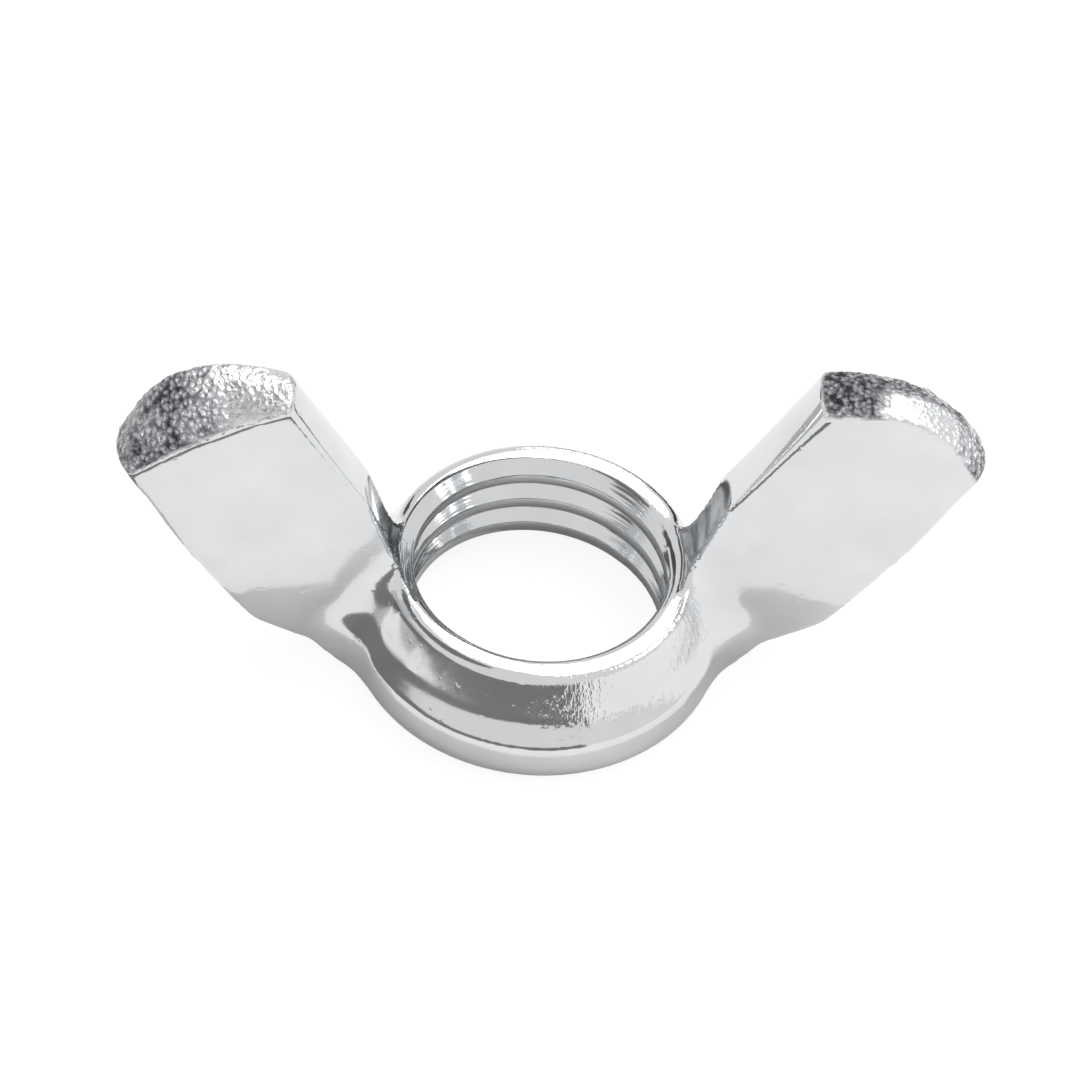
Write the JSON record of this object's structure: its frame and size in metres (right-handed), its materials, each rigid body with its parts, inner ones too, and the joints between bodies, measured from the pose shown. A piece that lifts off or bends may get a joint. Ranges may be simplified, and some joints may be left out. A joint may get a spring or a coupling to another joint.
{
  "type": "wing nut",
  "caption": "Forged steel wing nut: a round collared boss with a through right-hand thread, and two flat wings that slope up and out for turning by hand.",
  "frame": {"origin": "middle of the bearing face, on the axis of the thread", "axes": "+Z along the thread, from the bearing face up to where the bolt's end comes out between the wings; +X from the left wing to the right wing; +Y to the back"},
  "size_m": [0.0456, 0.0206, 0.0202],
  "materials": {
    "plated_boss": "bright zinc plate on turned and tapped forged steel, smooth and glossy",
    "plated_wing": "bright zinc plate on forged steel: smooth flat sides, and rough torn grain on the sheared tips"
  },
  "bodies": {
    "root": {"hub": "plated_boss", "left_wing": "plated_wing", "right_wing": "plated_wing"}
  },
  "joints": []
}
